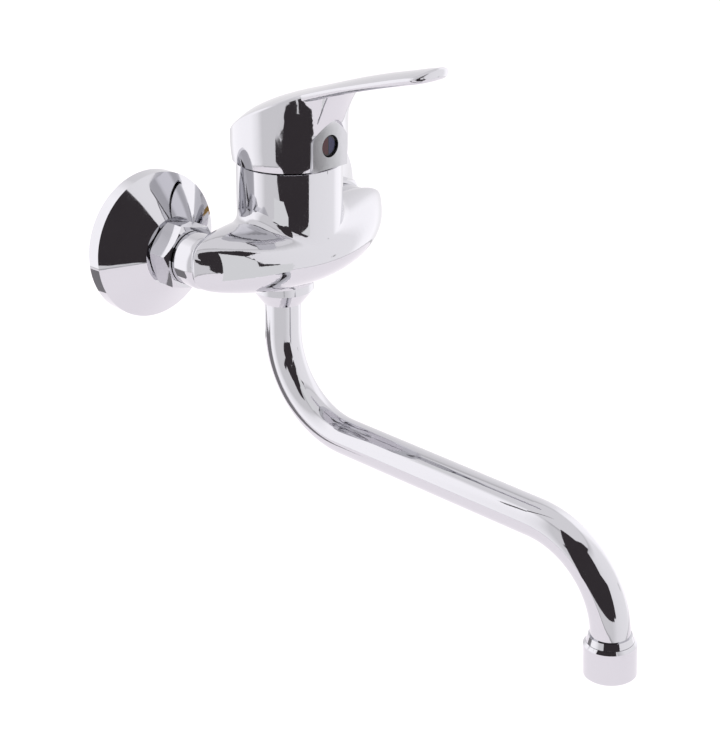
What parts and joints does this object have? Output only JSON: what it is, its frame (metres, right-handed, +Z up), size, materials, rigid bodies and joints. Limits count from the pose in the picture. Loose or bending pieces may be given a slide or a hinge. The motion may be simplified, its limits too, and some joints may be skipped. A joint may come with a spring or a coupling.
{
  "type": "wall-mounted sink mixer",
  "caption": "Chrome single-lever wall mixer: boat-shaped body on two wall inlets, cartridge housing with domed lever, slim swivel spout below that reaches out to an aerator.",
  "frame": {"origin": "on the wall plane, midway between the axes of the two inlets", "axes": "+X to the right for a person who faces the wall, +Y into the wall, +Z up; the spout and the lever point along -Y"},
  "size_m": [0.17, 0.2727, 0.2519],
  "materials": {
    "chrome": "polished",
    "brass": "machined",
    "rubber": "matte",
    "acetal": "moulded",
    "ceramic": "lapped",
    "steel": "turned",
    "stem_metal": "die-cast",
    "index": "moulded in two colours"
  },
  "bodies": {
    "mixer_body": {"body_casting": "chrome", "left_escutcheon": "chrome", "right_escutcheon": "chrome", "left_union_nut": "chrome", "right_union_nut": "chrome", "cap_ring": "chrome", "left_wall_union": "brass", "right_wall_union": "brass", "left_inlet_bush": "brass", "right_inlet_bush": "brass", "retaining_nut": "brass", "left_filter_washer": "rubber", "right_filter_washer": "rubber", "port_seals": "rubber", "cartridge_base": "acetal", "cartridge_shell": "acetal", "fixed_disc": "ceramic", "spout_lock_screw": "steel"},
    "cartridge_turret": {"turret": "acetal", "pivot_pin": "steel"},
    "lever": {"stem": "stem_metal", "handle": "chrome", "handle_screw": "steel", "index_plug": "index"},
    "control_disc": {"moving_disc": "ceramic", "disc_driver": "acetal"},
    "spout": {"spout_tube": "chrome", "spout_tail": "brass", "spout_o_rings": "rubber", "spout_slide_ring": "acetal", "outlet_ferrule": "chrome", "aerator_housing": "chrome", "aerator_insert": "acetal", "aerator_mesh": "steel", "aerator_washer": "rubber"}
  },
  "joints": [
    {"name": "handle_turn", "type": "hinge", "parent": "mixer_body", "child": "cartridge_turret", "pos_m": [0, -0.04565, 0.03], "axis": [0, 0, 1], "range_deg": [-45, 45]},
    {"name": "handle_lift", "type": "hinge", "parent": "cartridge_turret", "child": "lever", "pos_m": [0, -0.04565, 0.03], "axis": [-1, 0, 0], "range_deg": [0, 25]},
    {"name": "disc_slide", "type": "slide", "parent": "cartridge_turret", "child": "control_disc", "axis": [0, -1, 0], "range_m": [0, 0.00465]},
    {"name": "spout_swivel", "type": "hinge", "parent": "mixer_body", "child": "spout", "pos_m": [0, -0.0403, -0.033], "axis": [0, 0, 1], "range_deg": [-90, 90]}
  ],
  "couplings": [
    {"joint": "disc_slide", "follows": "handle_lift", "m_per_rad": 0.010655}
  ]
}
